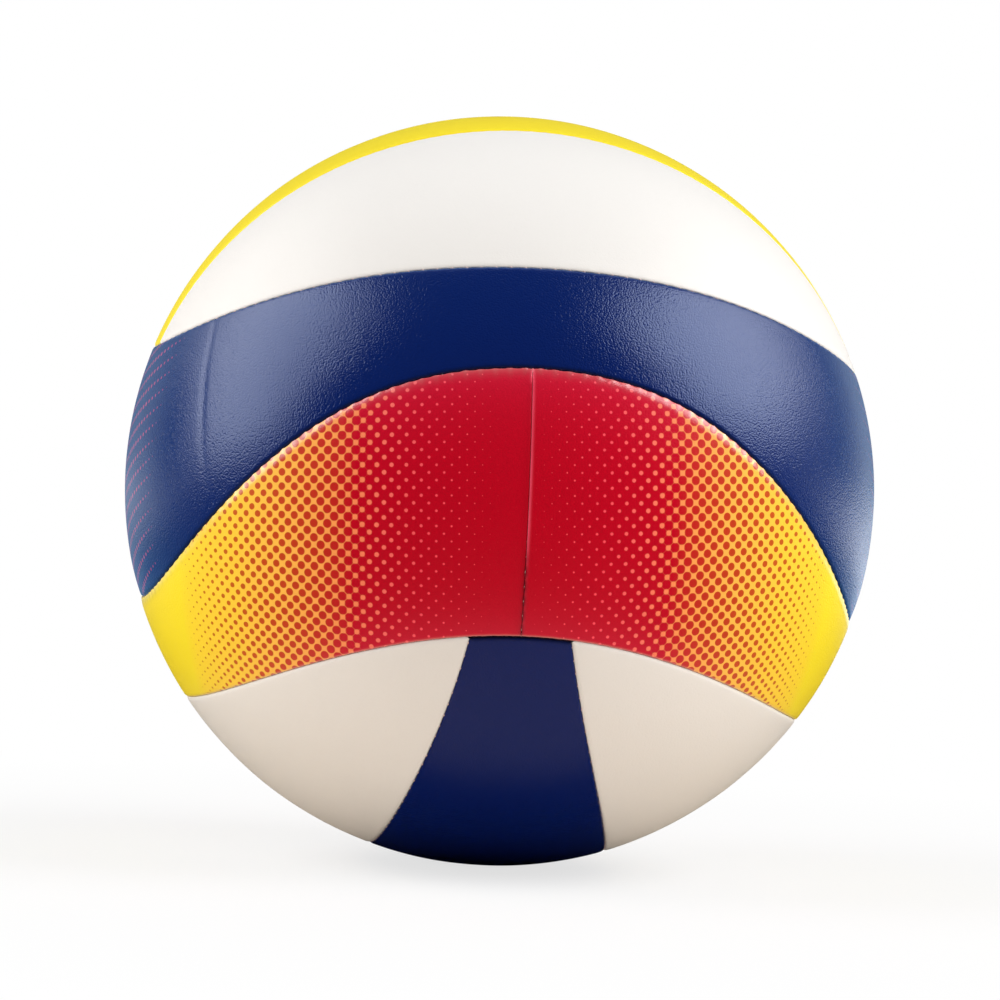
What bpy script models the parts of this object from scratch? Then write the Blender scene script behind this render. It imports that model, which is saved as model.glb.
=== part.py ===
"""Machine-stitched beach volleyball.

Ten cover panels on foam backings, sewn along eleven seams over a rubber bladder that carries a valve
seat and a replaceable needle plug. Metres, +Z up, origin at the ball's centre, -Y to the front.

The ten panels are cut from three templates: a strip over each cap, a side on each flank of a strip,
and a band that runs half way round between a cap and the wave seam. The lower half of the ball is the
upper half after a half turn about the level axis midway between +X and +Y.
"""

import math

import bmesh
import bpy
from mathutils import Matrix, Vector

# The ball and its layers, from the outside in
BALL_CIRCUMFERENCE = 0.670
SKIN_THICKNESS = 0.0008
FOAM_THICKNESS = 0.0026
BLADDER_WALL = 0.0010
FIT_GAP = 0.0003

# Seam lines, as arcs measured on the cover: a cap's rim above the equator over the middle of a band,
# over a strip's end, and midway between the two
RIM_OVER_BAND = 0.0660
RIM_MIDWAY = 0.0545
RIM_OVER_STRIP = 0.0379
# The wave between the bands: its crest above the equator, and its height an eighth turn down the slope
WAVE_CREST = 0.0352
WAVE_SHOULDER = 0.0272
# A strip's width at its middle, an eighth turn from the middle, and carried on to the equator
STRIP_MIDDLE_WIDTH = 0.0677
STRIP_SHOULDER_WIDTH = 0.0468
STRIP_EQUATOR_WIDTH = 0.0201
# A side panel is cut off square where it narrows to this
SIDE_TIP_WIDTH = 0.0060

# Seam groove between two turned-in panel edges, and the thread in it
GROOVE_TOP_WIDTH = 0.0030
GROOVE_FLOOR_WIDTH = 0.0006
THREAD_DIAMETER = 0.0007

# Valve, on the +Z axis in the middle of the top strip
PLUG_HEAD_DIAMETER = 0.0070
PLUG_HEAD_THICKNESS = 0.0014
PLUG_STEM_DIAMETER = 0.0048
PLUG_LENGTH = 0.0160
PLUG_TIP_CHAMFER = 0.0008
NEEDLE_HOLE_DIAMETER = 0.0014
NEEDLE_HOLE_DEPTH = 0.0120
SEAT_WALL = 0.0010
SEAT_LENGTH = 0.0145
FLANGE_DIAMETER = 0.0260
FLANGE_THICKNESS = 0.0012
VALVE_RECESS = 0.0006

# How finely each surface is divided
STRIP_STEPS = 16
SIDE_STEPS = 18
BAND_STEPS = 24
ACROSS_STEPS = 4
END_THREAD_STEPS = 6
BLADDER_SEGMENTS = 28
BLADDER_RINGS = 14
TURNED_STEPS = 32

# Worked out from the sizes above
BALL_RADIUS = BALL_CIRCUMFERENCE / (2 * math.pi)
FOAM_DEPTH = SKIN_THICKNESS + FIT_GAP
EDGE_DEPTH = FOAM_DEPTH + FOAM_THICKNESS
GROOVE_SLOPE = math.atan((GROOVE_TOP_WIDTH - GROOVE_FLOOR_WIDTH) / 2 / EDGE_DEPTH)
FOAM_INSET = (GROOVE_TOP_WIDTH / 2 - FOAM_DEPTH * math.tan(GROOVE_SLOPE)
              + FOAM_DEPTH / math.cos(GROOVE_SLOPE))
THREAD_HALF_ROOM = (THREAD_DIAMETER / 2 + FIT_GAP) / math.cos(GROOVE_SLOPE)
THREAD_DEPTH = (GROOVE_TOP_WIDTH / 2 - THREAD_HALF_ROOM) / math.tan(GROOVE_SLOPE)
THREAD_RADIUS = BALL_RADIUS - THREAD_DEPTH
THREAD_END_GAP = (THREAD_DIAMETER + 2 * FIT_GAP) / THREAD_RADIUS
WIDEST_STEP = (RIM_OVER_STRIP + WAVE_CREST) / BALL_RADIUS / ACROSS_STEPS
BLADDER_RADIUS = ((BALL_RADIUS - EDGE_DEPTH) * math.cos(WIDEST_STEP / 2)
                  * math.cos(math.pi / BAND_STEPS / 2) - FIT_GAP)
VALVE_TOP = BALL_RADIUS - VALVE_RECESS
SEAT_COUNTERBORE = PLUG_HEAD_DIAMETER / 2 + FIT_GAP
SEAT_NECK = SEAT_COUNTERBORE + SEAT_WALL
SEAT_BORE = PLUG_STEM_DIAMETER / 2 + FIT_GAP
VALVE_HOLE = SEAT_NECK + FIT_GAP

# The half turns that carry a template from the upper front of the ball to its other places
HALF_SPIN = Matrix.Rotation(math.pi, 4, "Z")
HALF_ROLL = Matrix.Rotation(math.pi, 4, Vector((1.0, 1.0, 0.0)))
UPPER_FRONT = Matrix.Identity(4)
UPPER_BACK = HALF_SPIN
LOWER_LEFT = HALF_ROLL
LOWER_RIGHT = HALF_ROLL @ HALF_SPIN

COLOURS = {
    "white cover": (0.80, 0.79, 0.76),
    "yellow cover": (0.93, 0.66, 0.01),
    "blue cover": (0.012, 0.024, 0.20),
    "yellow and red cover": (0.93, 0.62, 0.01),
    "blue and red cover": (0.012, 0.024, 0.20),
    "cloth-backed foam": (0.72, 0.71, 0.66),
    "seam thread": (0.62, 0.55, 0.55),
    "bladder rubber": (0.02, 0.02, 0.022),
    "valve seat rubber": (0.03, 0.03, 0.03),
    "valve plug rubber": (0.60, 0.59, 0.56),
}
ROUGHNESS = {"seam thread": 0.8, "cloth-backed foam": 0.9}


def even_swing(at_start, at_eighth, at_quarter):
    """An arc on the ball that swings twice a turn and passes three given sizes, as angle to angle."""
    mean = (at_start + 2 * at_eighth + at_quarter) / 4
    once = (at_start - at_quarter) / 2
    twice = (at_start - 2 * at_eighth + at_quarter) / 4

    def arc(angle):
        return (mean + once * math.cos(2 * angle) + twice * math.cos(4 * angle)) / BALL_RADIUS

    return arc


rim_latitude = even_swing(RIM_OVER_BAND, RIM_MIDWAY, RIM_OVER_STRIP)
strip_half_angle = even_swing(STRIP_MIDDLE_WIDTH / 2, STRIP_SHOULDER_WIDTH / 2, STRIP_EQUATOR_WIDTH / 2)


def wave_latitude(longitude):
    steep = WAVE_SHOULDER * math.sqrt(2)
    first = (WAVE_CREST + steep) / 2
    third = (WAVE_CREST - steep) / 2
    return (first * math.cos(2 * longitude) + third * math.cos(6 * longitude)) / BALL_RADIUS


def on_globe(longitude, latitude):
    """Unit vector, with longitude counted from the front (-Y) towards +X."""
    level = math.cos(latitude)
    return Vector((level * math.sin(longitude), -level * math.cos(longitude), math.sin(latitude)))


def on_strip(along, side):
    """Unit vector on the top strip: along is the angle from the pole, side runs -1 front to 1 back."""
    across = side * strip_half_angle(along)
    level = math.cos(across)
    return Vector((math.sin(along) * level, math.sin(across), math.cos(along) * level))


def bisect(inside, outside, holds):
    """The value between inside, where holds is true, and outside, where it is false, at the change."""
    for _ in range(40):
        middle = (inside + outside) / 2
        if holds(middle):
            inside = middle
        else:
            outside = middle
    return inside


def strip_reach(side):
    """How far the strip runs from the pole before it meets the cap's rim, as an angle."""

    def above_rim(along):
        point = on_strip(along, side)
        return math.asin(point.z) > rim_latitude(math.atan2(point.x, -point.y))

    return bisect(math.pi / 6, math.pi / 2, above_rim)


STRIP_CORNER_REACH = strip_reach(-1)
STRIP_CORNER = on_strip(STRIP_CORNER_REACH, -1)
STRIP_CORNER_LONGITUDE = math.atan2(STRIP_CORNER.x, -STRIP_CORNER.y)


def side_edges(share):
    """The two seams of the front side panel at a share of its length: the rim's and the strip's."""
    swing = 2 * share - 1
    longitude = swing * STRIP_CORNER_LONGITUDE
    return on_globe(longitude, rim_latitude(longitude)), on_strip(swing * STRIP_CORNER_REACH, -1)


def too_narrow(share):
    rim, strip = side_edges(share)
    return (strip - rim).length * BALL_RADIUS < SIDE_TIP_WIDTH


SIDE_TIP_SHARE = bisect(0.0, 0.5, too_narrow)


def strip_template(u, v):
    side = 2 * v - 1
    return on_strip((2 * u - 1) * strip_reach(side), side)


def side_template(u, v):
    rim, strip = side_edges(SIDE_TIP_SHARE + u * (1 - 2 * SIDE_TIP_SHARE))
    return rim.lerp(strip, v).normalized()


def band_template(u, v):
    longitude = (u - 0.5) * math.pi
    low = wave_latitude(longitude)
    return on_globe(longitude, low + v * (rim_latitude(longitude) - low))


def inset_share(template, u, v, along_u, inset):
    """The share of the template's run from an edge that lies inset square in from the seam there."""
    step = 0.01
    inward = step if (u if along_u else v) < 0.5 else -step
    edge = template(u, v)
    if along_u:
        run = template(u + inward, v) - edge
        seam = template(u, min(v + step, 1.0)) - template(u, max(v - step, 0.0))
    else:
        run = template(u, v + inward) - edge
        seam = template(min(u + step, 1.0), v) - template(max(u - step, 0.0), v)
    square = run.cross(seam.normalized()).length * BALL_RADIUS
    return inset * step / square


def spread(index, steps, shares):
    """Where a grid line falls from 0 to 1: shares holds the insets of the lines at each end."""
    near, far = shares
    rings = len(near)
    if index < rings - 1:
        return near[index]
    if index > steps + rings - 1:
        return 1 - far[steps + 2 * (rings - 1) - index]
    return near[-1] + (index - rings + 1) / steps * (1 - near[-1] - far[-1])


def material(name):
    made = bpy.data.materials.get(name)
    if made is None:
        made = bpy.data.materials.new(name)
        made.use_nodes = True
        shader = made.node_tree.nodes["Principled BSDF"]
        shader.inputs["Base Color"].default_value = (*COLOURS[name], 1.0)
        shader.inputs["Roughness"].default_value = ROUGHNESS.get(name, 0.5)
        shader.inputs["Metallic"].default_value = 0.0
    made.diffuse_color = (*COLOURS[name], 1.0)
    return made


def add_object(name, data, collection, parent, finish):
    obj = bpy.data.objects.new(name, data)
    collection.objects.link(obj)
    obj.parent = parent
    if finish:
        data.materials.append(material(finish))
    return obj


def mapped_sheet(name, template, place, steps, insets, depths):
    """A grid laid over a template, with one grid line at each inset and depth around its edge."""
    rings = len(insets)
    lines_along = steps + 2 * (rings - 1)
    lines_across = ACROSS_STEPS + 2 * (rings - 1)
    sheet = bmesh.new()
    bmesh.ops.create_grid(sheet, x_segments=lines_along, y_segments=lines_across, size=1.0)
    for vert in sheet.verts:
        i = round((vert.co.x + 1) / 2 * lines_along)
        j = round((vert.co.y + 1) / 2 * lines_across)
        flat_v = min(max((j - rings + 1) / ACROSS_STEPS, 0.0), 1.0)
        u_shares = [[inset_share(template, end, flat_v, True, inset) for inset in insets]
                    for end in (0.0, 1.0)]
        u = spread(i, steps, u_shares)
        v_shares = [[inset_share(template, u, end, False, inset) for inset in insets]
                    for end in (0.0, 1.0)]
        v = spread(j, ACROSS_STEPS, v_shares)
        ring = min(i, j, lines_along - i, lines_across - j, rings - 1)
        vert.co = template(u, v) * (BALL_RADIUS - depths[ring])
    bmesh.ops.transform(sheet, matrix=place, verts=sheet.verts)
    mesh = bpy.data.meshes.new(name)
    sheet.to_mesh(mesh)
    sheet.free()
    mesh.shade_smooth()
    return mesh


def thicken(obj, thickness):
    wall = obj.modifiers.new("Wall", "SOLIDIFY")
    wall.thickness = thickness
    wall.offset = -1.0
    wall.use_even_offset = True
    wall.use_quality_normals = True


def cut(obj, cutter):
    hole = obj.modifiers.new("Valve hole", "BOOLEAN")
    hole.operation = "DIFFERENCE"
    hole.solver = "EXACT"
    hole.object = cutter


def cover_panel(name, template, place, steps, finish, collection, parent):
    """A skin with its edges turned in, and the foam bonded under it."""
    insets = (GROOVE_FLOOR_WIDTH / 2, GROOVE_TOP_WIDTH / 2)
    mesh = mapped_sheet(name, template, place, steps, insets, (EDGE_DEPTH, 0.0))
    mesh.set_sharp_from_angle(angle=math.radians(35))
    skin = add_object(name, mesh, collection, parent, finish)
    thicken(skin, SKIN_THICKNESS)
    foam_name = name + "_foam"
    mesh = mapped_sheet(foam_name, template, place, steps, (FOAM_INSET,), (FOAM_DEPTH,))
    foam = add_object(foam_name, mesh, collection, parent, "cloth-backed foam")
    thicken(foam, FOAM_THICKNESS)
    return skin, foam


def seam_thread(name, points, closed, place, collection, parent):
    curve = bpy.data.curves.new(name, "CURVE")
    curve.dimensions = "3D"
    curve.bevel_depth = THREAD_DIAMETER / 2
    curve.bevel_resolution = 0
    curve.use_fill_caps = True
    spline = curve.splines.new("POLY")
    spline.points.add(len(points) - 1)
    spline.use_cyclic_u = closed
    for target, point in zip(spline.points, points):
        target.co = (*(place @ (point * THREAD_RADIUS)), 1.0)
    return add_object(name, curve, collection, parent, "seam thread")


def turned(name, profile, closed, finish, collection, parent):
    """A profile of (radius, height) points turned about Z."""
    shape = bmesh.new()
    verts = [shape.verts.new((radius, 0.0, height)) for radius, height in profile]
    for start, end in zip(verts, verts[1:]):
        shape.edges.new((start, end))
    if closed:
        shape.edges.new((verts[-1], verts[0]))
    mesh = bpy.data.meshes.new(name)
    shape.to_mesh(mesh)
    shape.free()
    obj = add_object(name, mesh, collection, parent, finish)
    screw = obj.modifiers.new("Turn", "SCREW")
    screw.axis = "Z"
    screw.angle = 2 * math.pi
    screw.steps = TURNED_STEPS
    screw.render_steps = TURNED_STEPS
    screw.use_merge_vertices = True
    screw.merge_threshold = 0.00001
    return obj


def valve_hole_cutter(collection, parent):
    shape = bmesh.new()
    bmesh.ops.create_cone(shape, cap_ends=True, segments=TURNED_STEPS, radius1=VALVE_HOLE,
                          radius2=VALVE_HOLE, depth=BALL_RADIUS / 4)
    mesh = bpy.data.meshes.new("valve_hole_cutter")
    shape.to_mesh(mesh)
    shape.free()
    cutter = add_object("valve_hole_cutter", mesh, collection, parent, None)
    cutter.location = (0.0, 0.0, BALL_RADIUS)
    cutter.hide_render = True
    cutter.display_type = "WIRE"
    return cutter


def bladder(collection, parent):
    shape = bmesh.new()
    bmesh.ops.create_uvsphere(shape, u_segments=BLADDER_SEGMENTS, v_segments=BLADDER_RINGS,
                              radius=BLADDER_RADIUS)
    mesh = bpy.data.meshes.new("bladder")
    shape.to_mesh(mesh)
    shape.free()
    mesh.shade_smooth()
    obj = add_object("bladder", mesh, collection, parent, "bladder rubber")
    thicken(obj, BLADDER_WALL)
    return obj


def valve_seat(collection, parent):
    """Neck through the cover, flange bonded inside the bladder, and a bore for the plug."""
    ring_fall = math.tan(math.pi / BLADDER_RINGS / 2) / math.cos(math.pi / BLADDER_SEGMENTS)
    flange_peak = BLADDER_RADIUS - BLADDER_WALL - 2 * FIT_GAP
    flange_radius = FLANGE_DIAMETER / 2
    counterbore_floor = VALVE_TOP - PLUG_HEAD_THICKNESS - FIT_GAP
    inner_end = VALVE_TOP - SEAT_LENGTH
    profile = (
        (SEAT_COUNTERBORE, VALVE_TOP),
        (SEAT_NECK, VALVE_TOP),
        (SEAT_NECK, flange_peak - SEAT_NECK * ring_fall),
        (flange_radius, flange_peak - flange_radius * ring_fall),
        (flange_radius, flange_peak - flange_radius * ring_fall - FLANGE_THICKNESS),
        (SEAT_NECK, flange_peak - SEAT_NECK * ring_fall - 2 * FLANGE_THICKNESS),
        (SEAT_BORE + SEAT_WALL, inner_end),
        (SEAT_BORE, inner_end),
        (SEAT_BORE, counterbore_floor),
        (SEAT_COUNTERBORE, counterbore_floor),
    )
    return turned("valve_seat", profile, True, "valve seat rubber", collection, parent)


def valve_plug(collection, parent):
    """Replaceable plug with a blind needle hole, drawn from its flat outer face down."""
    head = PLUG_HEAD_DIAMETER / 2
    stem = PLUG_STEM_DIAMETER / 2
    hole = NEEDLE_HOLE_DIAMETER / 2
    profile = (
        (0.0, -NEEDLE_HOLE_DEPTH),
        (hole, -NEEDLE_HOLE_DEPTH),
        (hole, 0.0),
        (head, 0.0),
        (head, -PLUG_HEAD_THICKNESS),
        (stem, -PLUG_HEAD_THICKNESS),
        (stem, PLUG_TIP_CHAMFER - PLUG_LENGTH),
        (stem - PLUG_TIP_CHAMFER, -PLUG_LENGTH),
        (0.0, -PLUG_LENGTH),
    )
    plug = turned("valve_plug", profile, False, "valve plug rubber", collection, parent)
    plug.location = (0.0, 0.0, VALVE_TOP)
    return plug


def loop(latitude):
    turns = [index / BAND_STEPS * math.pi for index in range(2 * BAND_STEPS)]
    return [on_globe(longitude, latitude(longitude)) for longitude in turns]


def strip_side_line():
    reach = STRIP_CORNER_REACH - THREAD_END_GAP
    return [on_strip(reach * (2 * index / SIDE_STEPS - 1), -1) for index in range(SIDE_STEPS + 1)]


def band_end_line():
    quarter = math.pi / 2
    low = wave_latitude(quarter) + THREAD_END_GAP
    high = rim_latitude(quarter) - THREAD_END_GAP
    shares = [index / END_THREAD_STEPS for index in range(END_THREAD_STEPS + 1)]
    return [on_globe(quarter, low + share * (high - low)) for share in shares]


def main():
    for obj in list(bpy.data.objects):
        bpy.data.objects.remove(obj, do_unlink=True)
    scene = bpy.context.scene
    parts = bpy.data.collections.new("beach volleyball")
    cutters = bpy.data.collections.new("cutters")
    scene.collection.children.link(parts)
    scene.collection.children.link(cutters)
    centre = add_object("ball_centre", None, parts, None, None)
    cutter = valve_hole_cutter(cutters, centre)

    strip = (strip_template, STRIP_STEPS)
    side = (side_template, SIDE_STEPS)
    band = (band_template, BAND_STEPS)
    panels = (
        ("top_strip_panel", strip, UPPER_FRONT, "yellow cover"),
        ("top_front_panel", side, UPPER_FRONT, "white cover"),
        ("top_back_panel", side, UPPER_BACK, "white cover"),
        ("upper_band_front_panel", band, UPPER_FRONT, "blue and red cover"),
        ("upper_band_back_panel", band, UPPER_BACK, "blue and red cover"),
        ("lower_band_left_panel", band, LOWER_LEFT, "yellow and red cover"),
        ("lower_band_right_panel", band, LOWER_RIGHT, "yellow and red cover"),
        ("bottom_strip_panel", strip, LOWER_LEFT, "blue cover"),
        ("bottom_left_panel", side, LOWER_LEFT, "white cover"),
        ("bottom_right_panel", side, LOWER_RIGHT, "white cover"),
    )
    for name, (template, steps), place, finish in panels:
        skin, foam = cover_panel(name, template, place, steps, finish, parts, centre)
        if name == "top_strip_panel":
            cut(skin, cutter)
            cut(foam, cutter)

    threads = (
        ("top_rim_thread", loop(rim_latitude), True, UPPER_FRONT),
        ("wave_thread", loop(wave_latitude), True, UPPER_FRONT),
        ("bottom_rim_thread", loop(rim_latitude), True, LOWER_LEFT),
        ("top_strip_front_thread", strip_side_line(), False, UPPER_FRONT),
        ("top_strip_back_thread", strip_side_line(), False, UPPER_BACK),
        ("bottom_strip_left_thread", strip_side_line(), False, LOWER_LEFT),
        ("bottom_strip_right_thread", strip_side_line(), False, LOWER_RIGHT),
        ("right_end_thread", band_end_line(), False, UPPER_FRONT),
        ("left_end_thread", band_end_line(), False, UPPER_BACK),
        ("back_end_thread", band_end_line(), False, LOWER_LEFT),
        ("front_end_thread", band_end_line(), False, LOWER_RIGHT),
    )
    for name, points, closed, place in threads:
        seam_thread(name, points, closed, place, parts, centre)

    cut(bladder(parts, centre), cutter)
    valve_seat(parts, centre)
    valve_plug(parts, centre)


main()
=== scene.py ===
"""Beach volleyball: fine sewn cover panels, stitched seams and a turned valve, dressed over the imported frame.

Metres, +Z up, -Y to the front. The seam lines repeat the part's own sizes, so every panel lies on its solid.
"""

import math
from collections import namedtuple

import bmesh
import bpy
import numpy as np
from mathutils import Matrix, Vector
from mathutils.kdtree import KDTree


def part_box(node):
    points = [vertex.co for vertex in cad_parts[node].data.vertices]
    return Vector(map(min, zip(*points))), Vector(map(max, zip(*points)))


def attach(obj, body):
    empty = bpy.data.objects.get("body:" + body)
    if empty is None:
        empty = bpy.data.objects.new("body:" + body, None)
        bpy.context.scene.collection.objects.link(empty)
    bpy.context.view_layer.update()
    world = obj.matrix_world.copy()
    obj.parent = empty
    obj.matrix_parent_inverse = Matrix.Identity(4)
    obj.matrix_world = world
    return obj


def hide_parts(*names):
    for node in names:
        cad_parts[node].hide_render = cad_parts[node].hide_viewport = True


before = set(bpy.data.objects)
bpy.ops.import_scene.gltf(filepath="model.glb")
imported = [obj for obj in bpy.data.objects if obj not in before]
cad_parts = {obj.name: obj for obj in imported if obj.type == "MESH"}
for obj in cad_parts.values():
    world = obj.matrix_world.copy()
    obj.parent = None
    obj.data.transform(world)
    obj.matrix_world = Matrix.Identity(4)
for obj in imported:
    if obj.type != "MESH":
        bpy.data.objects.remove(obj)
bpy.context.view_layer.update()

# ---- sizes shared with the part
BALL_RADIUS = 0.670 / (2 * math.pi)
RIM_OVER_BAND, RIM_MIDWAY, RIM_OVER_STRIP = 0.0660, 0.0545, 0.0379
WAVE_CREST, WAVE_SHOULDER = 0.0352, 0.0272
STRIP_MIDDLE_WIDTH, STRIP_SHOULDER_WIDTH, STRIP_EQUATOR_WIDTH = 0.0677, 0.0468, 0.0201
VALVE_TOP = BALL_RADIUS - 0.0006
PLUG_HEAD_RADIUS, PLUG_HEAD_THICKNESS = 0.0035, 0.0014
PLUG_STEM_RADIUS, PLUG_LENGTH = 0.0024, 0.0160
NEEDLE_HOLE_RADIUS, NEEDLE_HOLE_DEPTH = 0.0007, 0.0120
SEAT_COUNTERBORE, SEAT_NECK, SEAT_BORE, SEAT_LENGTH = 0.0038, 0.0048, 0.0027, 0.0145
FLANGE_RADIUS, FLANGE_THICKNESS = 0.0130, 0.0012
VALVE_HOLE = 0.0051

# ---- sizes of the dressing
SEAM_HALF_GAP = 0.00002          # from a panel's border to the seam line
SIDE_TIP_WIDTH = 0.0007          # width at which a cap side ends in a blunt tip
SKIN_WALL = 0.00045              # thickness of a panel's skin
# How far a panel's edge turns down at each kind of seam, and over what width
EDGE_TURNS = {"rim": (0.0006, 0.0012), "wave": (0.0013, 0.0026), "end": (0.00032, 0.0008), "strip": (0.0006, 0.0013)}
WIDEST_ROLL = max(roll for _, roll in EDGE_TURNS.values())
# The upper bands turn down sharply at the wave and lean towards it from further off. The lower bands slope softly
# to it and end in a crisp edge above it, which bulges between stitches. The caps are shaped like the upper bands.
UPPER_EDGE = {"Wave drop": 0.0013, "Wave roll": 0.0014, "Wave softness": 0.0, "Wave lean": 0.00045,
              "Pucker depth": 0.00014, "Scallop": 0.0}
LOWER_EDGE = {"Wave drop": 0.00032, "Wave roll": 0.0026, "Wave softness": 1.0, "Wave lean": 0.0,
              "Pucker depth": 0.00013, "Scallop": 0.00025}
WAVE_LEAN_REACH, PUCKER_REACH, SCALLOP_REACH = 0.014, 0.0022, 0.0016
# One panel laps over the next at an end seam, so its edge stands higher there
END_LAP = 0.00028
UNEVENNESS, UNEVEN_SIZE = 0.00022, 0.026
HOLE_DROP, HOLE_ROLL = 0.0006, 0.0016      # how the skin turns down round the valve's hole
HOLE_SIDES, DRILL_LENGTH = 72, 0.02
STITCH_PITCH = 0.0040
STITCH_HALF_SPAN, STITCH_RADIUS, STITCH_WANDER = 0.00075, 0.00016, 0.16
SMALLEST_STITCH, LARGEST_STITCH = 0.86, 1.10
# How deep the top of a stitch lies under each kind of seam, its slant, and its shift off the seam's middle
STITCH_LIES = {"rim": (0.00050, 58, 0.00015), "wave": (0.00052, 58, -0.0002), "end": (0.00060, 55, 0.0),
               "strip": (0.00045, 58, 0.0)}
# Stitches lie deeper along the lower rim, and rise where an end seam opens
LOWER_RIM_SINK = 0.00030
OPENING_SHARES, OPENING_RISE = (0.55, 0.75), 0.00024
STITCH_ROOT = 0.0006             # how far under the seam's valley a stitch is rooted
RUNNING_BELOW, RUNNING_RADIUS = 0.0011, 0.0003
FIRST_SEED, SIZE_SEED_STEP = 11, 7
# How closely the lines of a panel lie: along its length, near its ends, and how many across it
LINE_SPACING = 0.00085
CRISP_EDGE, CRISP_LINES, ROLL_LINES = 0.0012, 8, 9
CAP_LINES, BAND_LINES = 66, 84
EVEN_SHARE = 0.28                # the rest of the lines across crowd towards the edges
SEAM_SPACING = 0.0001            # between the seam points that distances are measured to
RIM_SAMPLES, STRIP_SAMPLES, END_SAMPLES, SPINE_SAMPLES = 6000, 3000, 900, 400

# ---- seam lines on the ball


def lengths(vectors):
    return np.linalg.norm(vectors, axis=-1)


def unit(vectors):
    return vectors / lengths(vectors)[..., None]


def even_swing(at_start, at_eighth, at_quarter):
    """An arc on the ball that swings twice a turn and passes three given sizes, as angle to angle."""
    mean = (at_start + 2 * at_eighth + at_quarter) / 4
    once = (at_start - at_quarter) / 2
    twice = (at_start - 2 * at_eighth + at_quarter) / 4

    def arc(angle):
        return (mean + once * np.cos(2 * angle) + twice * np.cos(4 * angle)) / BALL_RADIUS

    return arc


rim_latitude = even_swing(RIM_OVER_BAND, RIM_MIDWAY, RIM_OVER_STRIP)
strip_half_angle = even_swing(STRIP_MIDDLE_WIDTH / 2, STRIP_SHOULDER_WIDTH / 2, STRIP_EQUATOR_WIDTH / 2)


def wave_latitude(longitude):
    steep = WAVE_SHOULDER * math.sqrt(2)
    first, third = (WAVE_CREST + steep) / 2, (WAVE_CREST - steep) / 2
    return (first * np.cos(2 * longitude) + third * np.cos(6 * longitude)) / BALL_RADIUS


def on_globe(longitude, latitude):
    """Unit vectors, with longitude counted from the front (-Y) towards +X."""
    level = np.cos(latitude)
    return np.stack([level * np.sin(longitude), -level * np.cos(longitude), np.sin(latitude)], -1)


def on_strip(along, side):
    """Unit vectors on the top strip: along is the angle from the pole, side runs -1 front to 1 back."""
    across = side * strip_half_angle(along)
    level = np.cos(across)
    return np.stack([np.sin(along) * level, np.sin(across), np.cos(along) * level], -1)


def strip_reach(side):
    """How far the strip runs from the pole before it meets the cap's rim, as an angle."""
    side = np.asarray(side, float)
    near, far = np.full_like(side, math.pi / 6), np.full_like(side, math.pi / 2)
    for _ in range(48):
        middle = (near + far) / 2
        x, y, z = np.moveaxis(on_strip(middle, side), -1, 0)
        above = np.arcsin(z) > rim_latitude(np.arctan2(x, -y))
        near, far = np.where(above, middle, near), np.where(above, far, middle)
    return near


CORNER_REACH = float(strip_reach(-1.0))
CORNER = on_strip(CORNER_REACH, -1.0)
CORNER_LONGITUDE = math.atan2(CORNER[0], -CORNER[1])

HALF_SPIN = np.diag([-1.0, -1.0, 1.0])
HALF_ROLL = np.array([[0.0, 1.0, 0.0], [1.0, 0.0, 0.0], [0.0, 0.0, -1.0]])
UPPER_FRONT, UPPER_BACK = np.eye(3), HALF_SPIN
LOWER_LEFT, LOWER_RIGHT = HALF_ROLL, HALF_ROLL @ HALF_SPIN


def evenly(points, closed, spacing=None, count=None, lead=0.0):
    """Points at even arc lengths along a line of unit vectors, and the line's length on the ball."""
    if closed:
        points = np.vstack([points, points[:1]])
    run = np.concatenate([[0.0], np.cumsum(lengths(np.diff(points, axis=0)))]) * BALL_RADIUS
    length = run[-1]
    count = count or max(2, round(length / spacing))
    if closed:
        places = (np.arange(count) / count * length + lead) % length
    else:
        places = np.linspace(lead, length - lead, count)
    found = np.stack([np.interp(places, run, points[:, k]) for k in range(3)], -1)
    return unit(found), places, length


def seam_lines():
    """Every seam as {name: (points, closed)}, densely sampled unit vectors."""
    turn = np.linspace(-math.pi, math.pi, RIM_SAMPLES, endpoint=False)
    top_rim = on_globe(turn, rim_latitude(turn))
    strip_side = on_strip(np.linspace(-CORNER_REACH, CORNER_REACH, STRIP_SAMPLES), -1.0)
    quarter = np.full(END_SAMPLES, math.pi / 2)
    end = on_globe(quarter, np.linspace(wave_latitude(quarter[0]), rim_latitude(quarter[0]), END_SAMPLES))
    lines = {
        "top_rim_thread": (top_rim, True),
        "wave_thread": (on_globe(turn, wave_latitude(turn)), True),
        "bottom_rim_thread": (top_rim @ HALF_ROLL.T, True),
    }
    places = {
        ("top_strip_front_thread", "right_end_thread"): UPPER_FRONT,
        ("top_strip_back_thread", "left_end_thread"): UPPER_BACK,
        ("bottom_strip_left_thread", "back_end_thread"): LOWER_LEFT,
        ("bottom_strip_right_thread", "front_end_thread"): LOWER_RIGHT,
    }
    for (strip_name, end_name), place in places.items():
        lines[strip_name] = (strip_side @ place.T, False)
        lines[end_name] = (end @ place.T, False)
    return lines


SEAMS = seam_lines()

# ---- node building


def node(tree, kind, sockets=None, output=0, **settings):
    """Adds a node, sets its settings, then each socket's value or link, and gives back one output."""
    made = tree.nodes.new(kind)
    for name, value in settings.items():
        setattr(made, name, value)
    for key, value in (sockets or {}).items():
        socket = made.inputs[key]
        if isinstance(value, Wire):
            tree.links.new(value.socket, socket)
        else:
            socket.default_value = (*value, 1.0) if socket.type == "RGBA" else value
    return Wire(made.outputs[output]) if len(made.outputs) else made


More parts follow.
